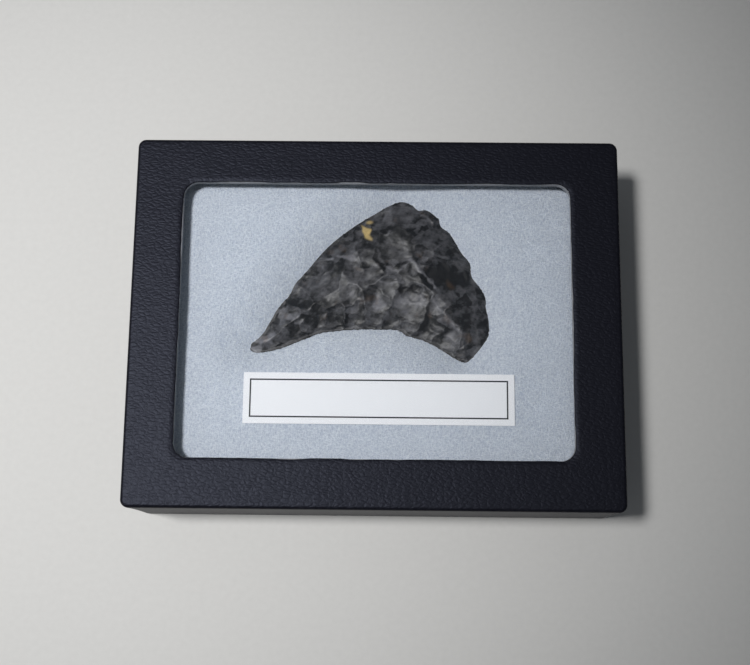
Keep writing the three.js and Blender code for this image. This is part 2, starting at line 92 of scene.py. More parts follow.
# A new object from an array of points in millimetres, a list of faces and values kept at its points.
def meshPiece(name, points, faces, attributes=None, smooth=True):
    mesh = bpy.data.meshes.new(name)
    mesh.from_pydata((points * millimetre).tolist(), [], faces)
    mesh.polygons.foreach_set("use_smooth", np.full(len(faces), smooth))
    for key, values in (attributes or {}).items():
        layer = mesh.attributes.new(key, "FLOAT", "POINT")
        layer.data.foreach_set("value", values.astype(np.float32))
    mesh.update()
    piece = bpy.data.objects.new(name, mesh)
    bpy.context.scene.collection.objects.link(piece)
    return piece


# Corner indices of the quads of a grid of rows by columns, closed round either way if wanted.
def gridFaces(rows, columns, closeRows=False, closeColumns=False):
    i, j = np.meshgrid(
        np.arange(rows if closeRows else rows - 1),
        np.arange(columns if closeColumns else columns - 1),
        indexing="ij",
    )
    nextRow = (i + 1) % rows
    nextColumn = (j + 1) % columns
    corners = [
        i * columns + j,
        i * columns + nextColumn,
        nextRow * columns + nextColumn,
        nextRow * columns + j,
    ]
    return np.stack(corners, -1).reshape(-1, 4)


# Materials: shader sockets, written as arithmetic


class Shade:
    def __init__(self, tree, socket):
        self.tree = tree
        self.socket = socket

    # Adds a node: its type, its settings, and values or links for its sockets by name or number.
    def node(self, kind, settings, sockets, output=0):
        node = self.tree.nodes.new("ShaderNode" + kind)
        for key, value in settings.items():
            setattr(node, key, value)
        for key, value in sockets.items():
            if isinstance(value, Shade):
                self.tree.links.new(value.socket, node.inputs[key])
            else:
                node.inputs[key].default_value = value
        return Shade(self.tree, node.outputs[output])

    def math(self, operation, *values, clamp=False):
        return self.node("Math", {"operation": operation, "use_clamp": clamp}, dict(enumerate(values)))

    def __add__(self, other):
        return self.math("ADD", self, other)

    def __sub__(self, other):
        return self.math("SUBTRACT", self, other)

    def __rsub__(self, other):
        return self.math("SUBTRACT", other, self)

    def __mul__(self, other):
        return self.math("MULTIPLY", self, other)

    __radd__ = __add__
    __rmul__ = __mul__

    def absolute(self):
        return self.math("ABSOLUTE", self)

    def least(self, other):
        return self.math("MINIMUM", self, other)

    def clamped(self):
        return self.math("ADD", self, 0, clamp=True)

    # A straight step from 0 at low to 1 at high.
    def above(self, low, high):
        return ((self - low) * (1 / (high - low))).clamped()

    # Between two colours, by this share. Sockets 6 and 7 are a Mix node's colours, output 2 the result.
    def mix(self, first, second):
        return self.node("Mix", {"data_type": "RGBA"}, {"Factor": self, 6: first, 7: second}, 2)

    # Fractal noise at these coordinates: output 0 is a number, output 1 a vector.
    def noise(self, scale, detail, roughness=0.5, output=0):
        sockets = {"Vector": self, "Scale": scale, "Detail": detail, "Roughness": roughness}
        return self.node("TexNoise", {}, sockets, output)

    # These coordinates stretched, then turned about Z.
    def mapped(self, scale, turn=0):
        return self.node("Mapping", {}, {"Vector": self, "Scale": scale, "Rotation": (0, 0, turn)})

    # The normal of a surface with this relief.
    def bump(self, strength, distance):
        return self.node("Bump", {}, {"Height": self, "Strength": strength, "Distance": distance})


# A screen colour from 0 to 255 as linear light, by the sRGB curve.
def fromScreen(colour):
    channels = [channel / 255 for channel in colour]
    return tuple(c / 12.92 if c <= 0.04045 else ((c + 0.055) / 1.055) ** 2.4 for c in channels) + (1,)


# A material with constants on its sockets. Patterns start from the object's own coordinates.
def newMaterial(name, constants):
    material = bpy.data.materials.new(name)
    material.use_nodes = True
    tree = material.node_tree
    surface = tree.nodes["Principled BSDF"]
    for key, value in constants.items():
        surface.inputs[key].default_value = value
    place = Shade(tree, tree.nodes.new("ShaderNodeTexCoord").outputs["Object"])
    return material, surface, place


def link(surface, name, value):
    value.tree.links.new(value.socket, surface.inputs[name])


def paint(piece, material):
    piece.data.materials.clear()
    piece.data.materials.append(material)


# Lid: leatherette over the board

lidWrap = {
    "around": 480,  # points round the lid
    "sharpest": 0.15,  # least radius of a corner
    "waver": 0.16,  # how far the window's cut edge wanders out
    "waverIn": 0.1,  # and in at the most
    "waverLength": 16,
    "lip": ((0, 0.15), (0.05, 0.04), (0.15, 0)),  # the round of that edge: out and down
    "hollow": 0.12,  # how far a side draws in at its middle
    "hem": 0.35,  # radius of the lower edge
    "chamfer": 0.1,  # on the fold under it
    "creases": 1035,  # scales of the grain, per metre
    "pebbles": 2600,
    "swell": 120,
    "wander": 900,
    "bend": 0.0007,  # how far the creases wander, in metres
    "drawn": (0.62, 1.3, 1),  # squeeze that draws them out along the lid
    "relief": 0.00011,
    "roughness": 0.46,
    "gloss": 0.2,
    "tint": (0.72, 0.78, 1, 1),
    # Painted shade for the creases of the grain, then the colour of the raised grain
    "creaseShade": (13, 13, 19),
    "face": (18, 18, 25),
}


# Points round a rectangle with round corners, counter-clockwise, a quarter of them to each corner
# and the side after it, so that two such rectangles match point by point.
def roundRectangle(halfX, halfY, radius, count, centre=(0, 0)):
    quarter = count // 4
    bend = quarter // 3
    middles = np.array([(1, 1), (-1, 1), (-1, -1), (1, -1)]) * (halfX - radius, halfY - radius)
    turn = np.linspace(0, np.pi / 2, bend + 1)
    share = np.linspace(0, 1, quarter - bend, endpoint=False)[:, None]
    points = []
    for k, middle in enumerate(middles):
        angle = turn + k * np.pi / 2
        arc = middle + radius * np.stack([np.cos(angle), np.sin(angle)], -1)
        points += [arc[:-1], arc[-1] + (middles[(k + 1) % 4] - middle) * share]
    return np.concatenate(points) + centre


# A closed profile carried round the lid: up the window's cut edge, over the top, down the side, round
# the hem, up the fold inside, and back under the board. Its rings match point by point.
def makeLidWrap():
    count = lidWrap["around"]
    halfX, halfY = case["length"] / 2, case["width"] / 2
    wrap, board, fold, hem = case["wrap"], case["board"], case["edgeRound"], lidWrap["hem"]
    top, low = case["height"], case["skirtLift"]

    def ring(inset):
        radius = max(case["corner"] - inset, lidWrap["sharpest"])
        return roundRectangle(halfX - inset, halfY - inset, radius, count)

    centre = np.array([0, window["offset"]])
    opening = roundRectangle(window["length"] / 2, window["width"] / 2, window["radius"], count, centre)
    outward = opening - centre
    outward = outward / np.linalg.norm(outward, axis=1, keepdims=True)
    waver = waveNoise(opening[:, 0], opening[:, 1], lidWrap["waverLength"])[:, None]
    opening = opening + outward * np.maximum(lidWrap["waver"] * waver, -lidWrap["waverIn"])
    rows = [(opening, top - wrap)]
    rows += [(opening + out * outward, top - down) for out, down in lidWrap["lip"]]
    inner, outer = rows[-1][0], ring(fold)
    for share in np.linspace(0.1, 1, 9):
        rows.append((inner + (outer - inner) * share, top))
    for angle in np.linspace(0, np.pi / 2, 9)[1:]:
        rows.append((ring(fold * (1 - np.sin(angle))), top - fold * (1 - np.cos(angle))))
    shoulder, foot = top - fold, low + hem
    for share in np.linspace(0, 1, 8)[1:]:
        hollow = lidWrap["hollow"] * np.sin(np.pi * share)
        rows.append((ring(hollow), shoulder + (foot - shoulder) * share))
    for angle in np.linspace(0, np.pi / 2, 5)[1:]:
        rows.append((ring(hem * (1 - np.cos(angle))), low + hem * (1 - np.sin(angle))))
    innermost, chamfer = ring(2 * wrap + board), lidWrap["chamfer"]
    rows += [(ring(2 * wrap + board - chamfer), low), (innermost, low + chamfer)]
    rows += [(innermost, low + case["turnIn"]), (ring(wrap + board), low + case["turnIn"])]
    rows += [(ring(wrap + board), low + wrap), (ring(wrap), low + wrap), (ring(wrap), top - wrap)]
    points = np.concatenate([np.column_stack([flat, np.full(count, z)]) for flat, z in rows])
    faces = gridFaces(len(rows), count, closeRows=True, closeColumns=True)
    return meshPiece("leatherette_skin", points, faces.tolist())


# Grain: wandering creases drawn out along the lid, fine pebbles, and a broad swell, with painted shade in
# the creases.
def leatheretteMaterial():
    material, surface, place = newMaterial(
        "leatherette",
        {
            "Roughness": lidWrap["roughness"],
            "Specular IOR Level": lidWrap["gloss"],
            "Specular Tint": lidWrap["tint"],
        },
    )
    wander = place.noise(lidWrap["wander"], 2, output=1)
    bend = (lidWrap["bend"],) * 3
    bent = place.node("VectorMath", {"operation": "MULTIPLY_ADD"}, {0: wander, 1: bend, 2: place})
    cells = {"Vector": bent.mapped(lidWrap["drawn"]), "Scale": lidWrap["creases"]}
    creases = place.node("TexVoronoi", {"feature": "DISTANCE_TO_EDGE"}, cells)
    pebbles = place.noise(lidWrap["pebbles"], 4)
    swell = place.noise(lidWrap["swell"], 3)
    height = creases.above(0, 0.3) * 0.7 + pebbles * 0.8 + swell * 2
    link(surface, "Normal", height.bump(0.4, lidWrap["relief"]))
    # The creases take a darker colour: painted shade in the grain's hollows.
    colour = creases.above(0, 0.12).mix(fromScreen(lidWrap["creaseShade"]), fromScreen(lidWrap["face"]))
    link(surface, "Base Color", colour)
    return material


leatheretteSkin = makeLidWrap()
paint(leatheretteSkin, leatheretteMaterial())
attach(leatheretteSkin, "lid")
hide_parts("lid_wrap")
print("leatherette made")


# Knife

knifeLook = {
    "columns": 400,  # points along the knife, then across its upper and its lower face
    "topRows": 160,
    "bottomRows": 44,
    "teeth": 0.11,  # how deep the edge is toothed, and how long a tooth is
    "toothLength": 1.4,
    "warp": 0.6,  # how far the scars are bent out of round, and over what length
    "warpLength": 5,
    "relief": 0.7,  # share of their depth that the upper face keeps
    "deepest": 0.92,  # share of the stone's height that they may take
    "ripple": 0.014,  # height of the ripples round a blow, and their least length
    "rippleLength": 0.9,
    "grain": 0.012,
    "grainLength": 1.1,
    "chips": 260,
    "chipLength": (1.6, 6),
    "chipWidth": (1.2, 4),
    "chipDepth": (0.1, 0.4),
    "chipShare": 0.6,  # share of a chip's depth that is added to the scar under it
    "notchShare": 0.9,  # share of a nibble's depth that counts, and of the shallower of two bites
    "underShare": 0.35,
    "creaseWander": 0.25,
    "edgeShade": 0.22,  # how much darker the edge is, over what width
    "edgeWidth": 0.7,
    "scarShade": 0.3,  # how much the scars differ in tone, then the clouds, then the painted highlight on the ridges
    "cloudShade": 0.12,
    "ridgeHighlight": 0.2,
    "dark": (18, 19, 23),
    "light": (132, 132, 138),
    "brown": (92, 72, 54),
    "tan": (192, 168, 112),
    "rough": 0.38,
    "gloss": 0.42,
}
outlinePoints = [
    (-27, -16.3), (-25.6, -17), (-22.6, -16.7), (-19.3, -15.8), (-16.7, -14.7), (-14.2, -13.7),
    (-11.2, -12.5), (-8.2, -12), (-3.1, -11.6), (1.8, -11.5), (6.4, -11.7), (8.1, -12.8),
    (11.8, -13.9), (15.5, -15.7), (18.5, -17.6), (20.3, -18.6), (21.8, -18.8), (23.3, -17.7),
    (25.5, -15.1), (26.8, -12.8), (27.1, -9.7), (26.5, -6.5), (25.9, -2.8), (24.6, -0.7),
    (23.3, 1.1), (22.5, 4.9), (21.1, 6.6), (19.6, 9.2), (18, 11.8), (16.2, 13.2), (15.3, 15.3),
    (12.8, 17.2), (11, 17.1), (9.4, 18.3), (6.7, 18.8), (4.1, 18.1), (1.5, 16.5), (-3.8, 13.1),
    (-9.8, 8.1), (-15.6, 1), (-17.1, -0.6), (-18.5, -3.6), (-21.2, -6.9), (-22.7, -9.8),
    (-25, -13.6), (-26.9, -15.2),
]
endPoint = 18  # where the hollow edge and the arched one meet on the right

# Flake scars of the upper face: x, y, heading in degrees, length, width, depth, lean.
# Below 0 the bowl is deepest near the blow, above 0 it ends in a step at the far end.
upperScars = [
    (5.9, 6.5, 235, 12, 11, 1.3, 0.35), (17.5, 0.6, 180, 13, 9, 1.5, 0.3),
    (8.4, 0.2, 60, 12, 8, 0.8, 0), (9.3, -6.4, 95, 12, 9, 1.2, 0.35),
    (1.6, -6.3, 90, 10, 7, 0.9, 0.2), (-11.2, -1.4, -40, 15, 11, 1.1, 0),
    (-6.9, 7, -40, 8, 7, 0.8, 0.3), (-11.4, 3.6, -35, 7, 5, 0.7, 0.3),
    (-3.6, 1.8, -85, 9, 4.5, 1, 0), (-0.2, 2.4, -100, 11, 7, 0.9, 0),
    (-1.2, 9.6, -55, 9, 7, 0.8, 0.1), (2.8, 13.4, -65, 9, 6, 0.8, -0.1),
    (7, 14.6, -95, 8, 6.5, 0.8, 0), (11.4, 13.2, -120, 9, 6, 0.9, 0.1),
    (14.6, 9.8, -145, 9, 6.5, 0.9, 0.1), (17.6, 5.6, -165, 9, 6, 0.9, 0.2),
    (20.4, -3.4, 185, 10, 6.5, 0.9, 0.1), (21.8, -8.6, 170, 9, 6.5, 0.9, 0),
    (22, -13.4, 130, 8, 6, 0.8, 0), (17.6, -13.4, 60, 8, 6.5, 0.9, 0.2),
    (13.4, -11, 65, 8.5, 6.5, 0.9, 0), (15, -6.4, 50, 7, 5, 0.8, 0),
    (5, -9.3, 90, 6, 5, 0.8, 0.1), (-3, -8.6, 88, 7.5, 6, 0.9, 0.2),
    (-7.8, -9, 80, 7.5, 5.5, 0.9, 0.2), (-12.2, -9.4, 70, 8, 6, 0.9, 0.1),
    (-16.4, -11.4, 62, 7, 5.5, 0.8, 0), (-20.4, -13.6, 58, 6, 5, 0.6, 0),
    (-15.6, -4.2, -35, 9, 7, 0.9, 0), (-18.9, -8.2, -35, 8, 6, 0.8, 0.1),
    (-21.8, -12, -32, 6, 4.5, 0.6, 0), (-24.8, -15.6, -30, 4.5, 4, 0.4, 0),
    (-5.4, -3, -50, 9, 7, 0.8, 0.1), (4, -2.8, 85, 6, 7, 0.75, 0.35),
    (12.3, 5.6, 215, 7, 6, 1, 0.2),
]
# Painted highlights (strength above 0) and painted shade (below 0) on the upper face: x, y, half width, half
# height, strength.
highlightAndShadeSpots = [
    (-10.7, -1.7, 4.5, 4.2, 0.16), (9.3, -4.9, 3.9, 2.2, 0.28), (1.8, -5.7, 1.6, 1.5, 0.4),
    (18.8, -13.2, 2.7, 2, 0.22), (-17.3, -8.7, 1.8, 0.9, 0.4), (-23.7, -13.9, 2.4, 1.1, 0.45),
    (-25.6, -16, 1.6, 0.9, 0.5), (-5, 4.8, 2, 0.7, 0.45), (-10.2, 4.6, 1.6, 0.5, 0.3),
    (5.8, 6.3, 3.6, 3.8, 0.1), (16.8, 0.3, 6.5, 3.4, -0.3), (11.8, -9.2, 3.6, 2.8, -0.2),
    (20.5, -6, 5, 8, -0.1), (-8, -9.5, 9, 1.8, -0.12), (7, 15, 5.5, 3.6, 0.08),
]
# Tan stone: a patch between two slanting sides, and a short streak.
tanPatch = {"x": -1.2, "y": 10.3, "half": 1.4, "slant": 0.7}
tanStreak = {"x": -0.3, "y": 13.4, "stretch": 1.6, "half": 0.7}
# Lines on the upper face where a flake ended in a hinge or a ridge stands sharp: half width,
# strength in tone as painted highlight above 0 and painted shade below 0, height in millimetres, then the
# points.
creases = [
    (0.3, 0.25, 0.05, [(1.8, 6.3), (2.3, 4.1), (3.5, 2.5), (5.1, 1.6), (6.5, 1.6), (9.2, 4.1)]),
    (0.32, 0.75, 0.12, [(9.2, 4.1), (10.1, 2.9), (11.3, 1.5), (12.8, 0.3), (13.8, -0.9), (14.5, -2.2)]),
    (0.5, -0.4, -0.1, [(6.8, -2.7), (9.3, -2.3), (12.3, -3.7), (13.5, -5.5)]),
    (0.3, 0.65, 0.06, [(-7.2, 5.3), (-4.9, 4.8), (-3.7, 4.5)]),
    (0.25, 0.4, 0.05, [(-11.7, 4.7), (-10.2, 4.9), (-8.7, 4.5)]),
    (0.4, 0.3, 0.08, [(13.8, -4.7), (15.3, -6.9), (17.3, -9.2), (18.8, -10.7), (20.8, -12.7)]),
    (0.3, 0.35, 0.05, [(2.3, -1.1), (4.5, -1.5), (7.3, -1)]),
    (0.45, 0.6, 0.05, [(-24.5, -14.7), (-23.3, -13.9), (-21.8, -12.9)]),
    (0.3, 0.35, 0.04, [(-16.4, -10.5), (-15, -9.8)]),
    (0.3, 0.25, 0.04, [(13, 5), (15, 5.6), (17.5, 5)]),
    (0.9, -0.22, -0.06, [(-18.7, -5.7), (-12.5, -6.3), (-7.7, -6.2), (-3.5, -5.6), (-0.7, -3.7)]),
    (0.5, -0.25, -0.06, [(-3.7, 4.3), (-4, 2.2), (-3.7, 0.3)]),
]
lowerRidgeScars = [
    (-13.5, -6.5, 35, 12, 9, 0.8, 0), (-6, -1.5, 20, 13, 11, 0.9, 0.1), (2, 2.5, 5, 13, 12, 0.9, 0),
    (3.5, -4, 95, 11, 11, 0.8, 0.1), (9.5, 5.5, -80, 13, 11, 0.9, 0.1),
    (13, -2, -60, 13, 11, 0.9, 0), (18.5, -7.5, -75, 12, 10, 0.8, 0),
]


# A smooth closed or open line through points, at equal steps: centripetal Catmull-Rom.
def smoothLine(points, count, closed):
    points = np.asarray(points, float)
    if closed:
        padded = np.concatenate([points[-1:], points, points[:2]])
    else:
        padded = np.concatenate([2 * points[:1] - points[1:2], points, 2 * points[-1:] - points[-2:-1]])
    fine = []
    for a, b, c, d in zip(padded, padded[1:], padded[2:], padded[3:]):
        t1 = np.linalg.norm(b - a) ** 0.5
        t2 = t1 + np.linalg.norm(c - b) ** 0.5
        t3 = t2 + np.linalg.norm(d - c) ** 0.5
        t = np.linspace(t1, t2, 24, endpoint=False)[:, None]
        ab = a * (t1 - t) / t1 + b * t / t1
        bc = b * (t2 - t) / (t2 - t1) + c * (t - t1) / (t2 - t1)
        cd = c * (t3 - t) / (t3 - t2) + d * (t - t2) / (t3 - t2)
        abc = ab * (t2 - t) / t2 + bc * t / t2
        bcd = bc * (t3 - t) / (t3 - t1) + cd * (t - t1) / (t3 - t1)
        fine.append(abc * (t2 - t) / (t2 - t1) + bcd * (t - t1) / (t2 - t1))
    fine = np.concatenate(fine + [padded[-2:-1]])
    travel = np.concatenate([[0], np.cumsum(np.linalg.norm(np.diff(fine, axis=0), axis=1))])
    wanted = np.linspace(0, travel[-1], count)
    return np.column_stack([np.interp(wanted, travel, fine[:, k]) for k in (0, 1)])


knifeOutline = smoothLine(outlinePoints, 321, True)[:-1]


# Distance from points to the knife's outline, positive inside it.
def distanceInside(x, y):
    shape = np.shape(x)
    x, y = np.ravel(x), np.ravel(y)
    starts = knifeOutline
    along = np.roll(starts, -1, 0) - starts
    result = np.empty(len(x))
    for part in np.array_split(np.arange(len(x)), max(1, len(x) // 8000)):
        offX = x[part, None] - starts[:, 0]
        offY = y[part, None] - starts[:, 1]
        share = (offX * along[:, 0] + offY * along[:, 1]) / (along**2).sum(1)
        share = np.clip(share, 0, 1)
        nearest = np.hypot(offX - share * along[:, 0], offY - share * along[:, 1]).min(1)
        crosses = (offY < 0) != (offY < along[:, 1])
        with np.errstate(divide="ignore", invalid="ignore"):
            left = offX < offY * along[:, 0] / along[:, 1]
        inside = (crosses & left).sum(1) % 2 == 1
        result[part] = np.where(inside, nearest, -nearest)
    return result.reshape(shape)


# How full a face is at a distance from the edge: a parabola from 0 there to 1 from rollIn inwards.
def fullness(distance):
    return 1 - (1 - np.clip(distance / rollIn, None, 1)) ** 2


# The deepest bite at each point, its scar's number, the distance from its blow, and a ridge from 0 to
# 1 where it is as deep as the second. A bite is depth * (1 - rho^2), where rho is 1 on the scar's rim
# and its middle is shifted by lean. Bites fade out towards the edge over a given distance.
def bites(x, y, distance, scars, fade=2.5):
    deepest = np.zeros(np.shape(x))
    second = np.zeros(np.shape(x))
    owner = np.full(np.shape(x), -1)
    reach = np.zeros(np.shape(x))
    for number, (atX, atY, heading, length, width, depth, lean) in enumerate(scars):
        angle = math.radians(heading)
        along = ((x - atX) * math.cos(angle) + (y - atY) * math.sin(angle)) / (length / 2)
        across = (-(x - atX) * math.sin(angle) + (y - atY) * math.cos(angle)) / (width / 2)
        if lean:
            root = np.sqrt(np.clip(1 - 4 * lean * (along - lean * (1 - across**2)), 0, None))
            centred = (1 - root) / (2 * lean)
        else:
            centred = along
        bite = depth * (1 - centred**2 - across**2)
        if fade:
            bite = bite * smoothstep(distance, -fade / 5, fade)
        wins = bite > deepest
        second = np.where(wins, deepest, np.maximum(second, bite))
        deepest = np.where(wins, bite, deepest)
        owner = np.where(wins, number, owner)
        blow = np.hypot(along + 1.15, across * width / length) * length / 2  # struck just outside its rim
        reach = np.where(wins, blow, reach)
    ridgeWidth = 0.045
    ridge = np.exp(-(deepest - second) / ridgeWidth) * smoothstep(deepest, 0.02, 0.2)
    return deepest, owner, reach, ridge


# Distance from points to an open line.
def distanceToLine(x, y, line):
    nearest = np.full(np.shape(x), np.inf)
    for (startX, startY), (endX, endY) in zip(line, line[1:]):
        alongX, alongY = endX - startX, endY - startY
        share = ((x - startX) * alongX + (y - startY) * alongY) / (alongX**2 + alongY**2)
        share = np.clip(share, 0, 1)
        nearest = np.minimum(nearest, np.hypot(x - startX - share * alongX, y - startY - share * alongY))
    return nearest


# Small scars along the edge, side by side, each pointing inwards.
def edgeScars(count, length, width, depth, inset, lean):
    line = smoothLine(outlinePoints, count + 1, True)
    middle = (line[:-1] + line[1:]) / 2
    step = line[1:] - line[:-1]
    step /= np.linalg.norm(step, axis=1, keepdims=True)
    scars = []
    for point, (stepX, stepY) in zip(middle, step):
        own = chance.uniform(0.7, 1.3, 3)
        inward = np.array([-stepY, stepX])
        at = point + inward * inset * length * own[0]
        heading = math.degrees(math.atan2(inward[1], inward[0])) + chance.uniform(-18, 18)
        scars.append((*at, heading, length * own[0], width * own[1], depth * own[2], lean))
    return scars


# Chips anywhere on the stone, in the same form as the scars.
def scatterChips():
    chips = []
    for _ in range(knifeLook["chips"]):
        atX, atY = chance.uniform(-26, 27), chance.uniform(-19, 19)
        least, most = zip((0, 360), knifeLook["chipLength"], knifeLook["chipWidth"])
        heading, length, width = chance.uniform(least, most)
        depth, lean = chance.uniform(*knifeLook["chipDepth"]), chance.choice([-0.1, 0.1, 0.3])
        chips.append((atX, atY, heading, length, width, depth, lean))
    return chips


# Shares from 0 to 1, drawn together at both ends: even steps mixed with those of a cosine.
def bunched(count, mixed):
    eased = (1 - np.cos(np.linspace(0, np.pi, count))) / 2
    return mixed * eased + (1 - mixed) * np.linspace(0, 1, count)


# The hollow lower edge and the arched upper one, both from left to right. Teeth are noise that moves
# the points inwards and dies away at the tips.
def knifeEdges():
    columns, steps = knifeLook["columns"], 4000
    lower = smoothLine(outlinePoints[: endPoint + 1], steps + 1, False)
    upper = smoothLine(outlinePoints[endPoint:] + outlinePoints[:1], steps + 1, False)[::-1]
    chosen = np.round(bunched(columns, 0.35) * steps).astype(int)
    lower, upper = lower[chosen], upper[chosen]
    for line, side in ((lower, 1), (upper, -1)):
        tangent = np.gradient(line, axis=0)
        tangent /= np.linalg.norm(tangent, axis=1, keepdims=True)
        noise = waveNoise(line[:, 0], line[:, 1], knifeLook["toothLength"], 2)
        teeth = knifeLook["teeth"] * (1 + noise) * np.sin(np.pi * np.linspace(0, 1, columns)) ** 0.5
        line += side * teeth[:, None] * np.stack([-tangent[:, 1], tangent[:, 0]], -1)
    return lower, upper


# The creases' painted highlight and shade, and their height, at each point: bell curves across each line,
# which wanders a little.
def creaseLines(x, y):
    bentX = x + knifeLook["creaseWander"] * waveNoise(x, y, 2.4, 2)
    bentY = y + knifeLook["creaseWander"] * waveNoise(x, y, 2.4, 2)
    toneWithPaintedLight, rise = np.zeros_like(x), np.zeros_like(x)
    for halfWidth, strength, height, line in creases:
        near = np.exp(-((distanceToLine(bentX, bentY, line) / halfWidth) ** 2))
        # Painted highlight or painted shade along the line
        toneWithPaintedLight += strength * near
        rise += height * near
    return toneWithPaintedLight, rise


# Tone of the stone: dark at the edge, a shade of its own in each scar, clouds, and a painted highlight on
# the ridges between the scars.
def stoneToneAndGlints(x, y, distance, owner, ridge):
    goldenShare = 0.61803  # its multiples spread evenly over 0 to 1
    edge = knifeLook["edgeShade"] * np.exp(-distance / knifeLook["edgeWidth"])
    own = knifeLook["scarShade"] * (np.mod(owner * goldenShare, 1) - 0.5)
    clouds = knifeLook["cloudShade"] * waveNoise(x, y, 3)
    # Painted highlight: the ridges between the scars are made lighter.
    light = knifeLook["ridgeHighlight"] * ridge * (0.6 + 0.4 * waveNoise(x, y, 4, 2))
    return 0.5 - edge + own + clouds + light


# What the spots of painted highlight and shade add to the tone, and where the stone is tan. Each place fades
# out at its rim.
def paintedSpotsAndTan(x, y, warpX, warpY):
    toneWithPaintedLight = np.zeros_like(x)
    for atX, atY, halfX, halfY, strength in highlightAndShadeSpots:
        spot = np.hypot((warpX - atX) / halfX, (warpY - atY) / halfY)
        # Painted highlight or painted shade from each spot
        toneWithPaintedLight += strength * (1 - smoothstep(spot, 0.55, 1.15))
    besidePatch = np.abs(warpX - tanPatch["x"])
    abovePatch = np.abs(warpY - tanPatch["y"] + tanPatch["slant"] * warpX)
    patch = smoothstep(tanPatch["half"] - np.maximum(besidePatch, abovePatch), 0, 0.6)
    fromStreak = np.hypot((x - tanStreak["x"]) / tanStreak["stretch"], y - tanStreak["y"])
    streak = smoothstep(tanStreak["half"] - fromStreak, 0, 0.5)
    return toneWithPaintedLight, np.maximum(patch, 0.7 * streak)


# One face as a grid between the edges, as x, y, z, tone with painted highlights and shade, and tan. Its
# height is
# height * fullness less the bites: scars, chips, ripples round each blow and grain, and on the upper face
# creases and nibbles.
def knifeFace(lower, upper, rows, height, scars, chips, nibbles):
    across = bunched(rows, 0.4)
    grid = lower + (upper - lower) * across[:, None, None]
    x, y = grid[..., 0], grid[..., 1]
    distance = np.maximum(distanceInside(x, y), 0)
    distance[0] = distance[-1] = 0
    warpX = x + knifeLook["warp"] * waveNoise(x, y, knifeLook["warpLength"], 2)
    warpY = y + knifeLook["warp"] * waveNoise(x, y, knifeLook["warpLength"], 2)
    depth, owner, blow, ridge = bites(warpX, warpY, distance, scars)
    chipDepth, chipOwner, _, chipRidge = bites(warpX, warpY, distance, chips)
    depth = depth + knifeLook["chipShare"] * chipDepth
    owner = np.where(chipDepth > 0.1, chipOwner + 7, owner)
    ridge = np.maximum(ridge, 0.5 * chipRidge)
    rippleLength = knifeLook["rippleLength"] + 0.25 * (owner % 4)
    ripple = knifeLook["ripple"] * np.sin(2 * np.pi * blow / rippleLength + owner)
    depth = depth + ripple * smoothstep(depth, 0.02, 0.25) * smoothstep(blow, 0.5, 4)
    creaseHighlightAndShade = spotHighlightAndShade = tan = np.zeros_like(x)
    if height > 0:
        creaseHighlightAndShade, rise = creaseLines(x, y)
        spotHighlightAndShade, tan = paintedSpotsAndTan(x, y, warpX, warpY)
        depth = knifeLook["relief"] * depth - rise
        small, smallOwner, _, smallRidge = bites(warpX, warpY, distance, nibbles, fade=0)
        notch = small * smoothstep(distance, 0, 0.5)
        deeper = np.maximum(depth, notch * knifeLook["notchShare"])
        depth = deeper + knifeLook["underShare"] * np.minimum(depth, notch)
        owner = np.where(small > depth * 0.8, smallOwner + 50, owner)
        ridge = np.maximum(ridge * (small < depth), 0.7 * smallRidge)
    depth = depth + knifeLook["grain"] * waveNoise(x, y, knifeLook["grainLength"])
    full = height * fullness(distance)
    z = full - np.sign(height) * np.minimum(depth, np.abs(full) * knifeLook["deepest"])
    z[0] = z[-1] = 0
    z[:, 0] = z[:, -1] = 0
    # The tone holds the stone's own shades together with painted highlights and painted shade.
    toneWithPaintedLight = np.clip(stoneToneAndGlints(x, y, distance, owner, ridge) + creaseHighlightAndShade + spotHighlightAndShade, 0, 1)
    return np.stack([x, y, z, toneWithPaintedLight, tan], -1)


# Sews two grids with the same rim into one closed surface: the rows of values at its points, and its
# faces. The first and the last column of each grid is one point, so the quads there lose a corner.
def sewFaces(top, bottom):
    rows, columns = top.shape[:2]
    above = np.arange(rows * columns).reshape(rows, columns)
    above[:, 0], above[:, -1] = above[0, 0], above[0, -1]
    values = np.concatenate([grid.reshape(-1, grid.shape[-1]) for grid in (top, bottom[1:-1, 1:-1])])
    below = np.empty(bottom.shape[:2], int)
    below[0], below[-1] = above[0], above[-1]
    below[:, 0], below[:, -1] = above[0, 0], above[0, -1]
    inside = below[1:-1, 1:-1]
    inside[:] = rows * columns + np.arange(inside.size).reshape(inside.shape)
    upperQuads = above.ravel()[gridFaces(*above.shape)]
    lowerQuads = below.ravel()[gridFaces(*below.shape)][:, ::-1]
    used, renumbered = np.unique(np.concatenate([upperQuads, lowerQuads]), return_inverse=True)
    quads = renumbered.reshape(-1, 4)
    repeated = quads == np.roll(quads, 1, axis=1)
    atTip = repeated.any(1)
    triangles = quads[atTip][~repeated[atTip]].reshape(-1, 3)
    return values[used], quads[~atTip].tolist() + triangles.tolist()


def makeKnife():
    lower, upper = knifeEdges()
    chips = scatterChips()
    nibbles = edgeScars(count=96, length=2.6, width=2.4, depth=0.34, inset=0.3, lean=-0.2)
    nibbles += edgeScars(count=40, length=4.2, width=3.8, depth=0.42, inset=0.32, lean=0)
    lowerScars = edgeScars(count=24, length=10, width=8.5, depth=0.9, inset=0.45, lean=0.1)
    lowerScars += lowerRidgeScars
    top = knifeFace(lower, upper, knifeLook["topRows"], faceRise, upperScars, chips, nibbles)
    bottom = knifeFace(lower, upper, knifeLook["bottomRows"], -bellyDrop, lowerScars, chips, nibbles)
    values, faces = sewFaces(top, bottom)
    points = values[:, :3] + (*knifeAt, edgeLevel)
    return meshPiece("knapped_knife", points, faces, {"toneWithPaintedLight": values[:, 3], "tan": values[:, 4]})
